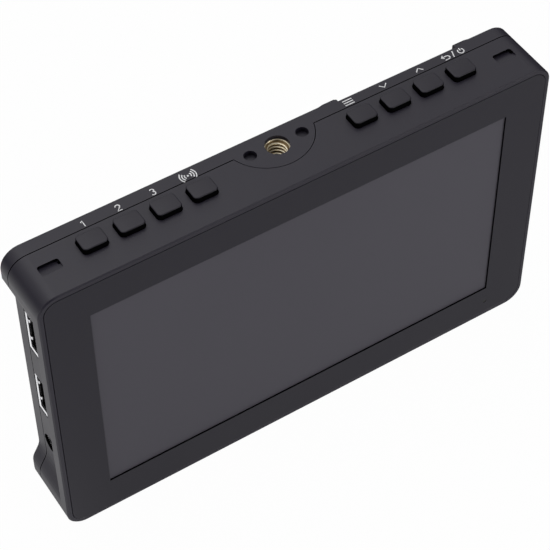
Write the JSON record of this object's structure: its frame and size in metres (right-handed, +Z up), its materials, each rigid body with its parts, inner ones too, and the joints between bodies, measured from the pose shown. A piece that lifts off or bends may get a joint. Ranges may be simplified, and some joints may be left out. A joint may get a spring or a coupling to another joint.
{
  "type": "camera field monitor",
  "caption": "Flat touch-screen camera monitor with push keys on top, threaded inserts above and below, ports in side recesses and a slide-on battery plate behind.",
  "frame": {"origin": "middle of the bottom face that the monitor stands on", "axes": "+X to the right across the screen, +Y from the front into the depth, +Z up; the screen faces -Y"},
  "size_m": [0.1616, 0.0242, 0.1024],
  "materials": {
    "housing": "fine moulded texture",
    "front_panel": "fine moulded texture",
    "screen_glass": "etched anti-glare film over dark glass",
    "display": "polarising film",
    "light_guide": "clear acrylic with white film",
    "sheet_steel": "pressed sheet",
    "circuit_board": "solder resist",
    "chip": "moulded epoxy",
    "ribbon": "polyimide film",
    "key_cap": "soft painted top, black sides",
    "brass": "turned, bright",
    "bright_metal": "nickel plated",
    "black_plastic": "moulded",
    "lens": "clear black",
    "plate": "moulded",
    "contact": "gold plated",
    "latch": "moulded",
    "spring": "spring wire",
    "screw": "black zinc"
  },
  "bodies": {
    "monitor": {"front_housing": "housing", "rear_cover": "housing", "front_panel": "front_panel", "touch_panel": "screen_glass", "display_cell": "display", "light_guide": "light_guide", "backlight_tray": "sheet_steel", "driver_board": "circuit_board", "display_ribbon": "ribbon", "main_board": "circuit_board", "board_chips": "chip", "key_boards": "circuit_board", "key_switches": "bright_metal", "key_ribbons": "ribbon", "top_insert": "brass", "bottom_insert": "brass", "upper_video_shell": "bright_metal", "lower_video_shell": "bright_metal", "upper_video_tongue": "black_plastic", "lower_video_tongue": "black_plastic", "headphone_jack": "black_plastic", "headphone_collar": "bright_metal", "power_inlet": "black_plastic", "power_pin": "bright_metal", "service_port": "bright_metal", "service_tongue": "black_plastic", "indicator_lens": "lens", "battery_plate": "plate", "battery_contacts": "contact", "latch_spring": "spring", "housing_screws": "screw", "plate_screws": "screw", "board_screws": "bright_metal", "key_board_screws": "bright_metal"},
    "key_one": {"key_one": "key_cap"},
    "key_two": {"key_two": "key_cap"},
    "key_three": {"key_three": "key_cap"},
    "key_touch": {"key_touch": "key_cap"},
    "key_menu": {"key_menu": "key_cap"},
    "key_down": {"key_down": "key_cap"},
    "key_up": {"key_up": "key_cap"},
    "key_power": {"key_power": "key_cap"},
    "battery_latch": {"battery_latch": "latch"}
  },
  "joints": [
    {"name": "key_one_press", "type": "slide", "parent": "monitor", "child": "key_one", "axis": [0, 0, -1], "range_m": [0, 0.0005], "stiffness_N_per_m": 2000, "springref_m": -0.0003},
    {"name": "key_two_press", "type": "slide", "parent": "monitor", "child": "key_two", "axis": [0, 0, -1], "range_m": [0, 0.0005], "stiffness_N_per_m": 2000, "springref_m": -0.0003},
    {"name": "key_three_press", "type": "slide", "parent": "monitor", "child": "key_three", "axis": [0, 0, -1], "range_m": [0, 0.0005], "stiffness_N_per_m": 2000, "springref_m": -0.0003},
    {"name": "key_touch_press", "type": "slide", "parent": "monitor", "child": "key_touch", "axis": [0, 0, -1], "range_m": [0, 0.0005], "stiffness_N_per_m": 2000, "springref_m": -0.0003},
    {"name": "key_menu_press", "type": "slide", "parent": "monitor", "child": "key_menu", "axis": [0, 0, -1], "range_m": [0, 0.0005], "stiffness_N_per_m": 2000, "springref_m": -0.0003},
    {"name": "key_down_press", "type": "slide", "parent": "monitor", "child": "key_down", "axis": [0, 0, -1], "range_m": [0, 0.0005], "stiffness_N_per_m": 2000, "springref_m": -0.0003},
    {"name": "key_up_press", "type": "slide", "parent": "monitor", "child": "key_up", "axis": [0, 0, -1], "range_m": [0, 0.0005], "stiffness_N_per_m": 2000, "springref_m": -0.0003},
    {"name": "key_power_press", "type": "slide", "parent": "monitor", "child": "key_power", "axis": [0, 0, -1], "range_m": [0, 0.0005], "stiffness_N_per_m": 2000, "springref_m": -0.0003},
    {"name": "battery_latch_press", "type": "slide", "parent": "monitor", "child": "battery_latch", "axis": [0, -1, 0], "range_m": [0, 0.0017], "stiffness_N_per_m": 800, "springref_m": -0.001, "deforming": ["latch_spring"]}
  ]
}
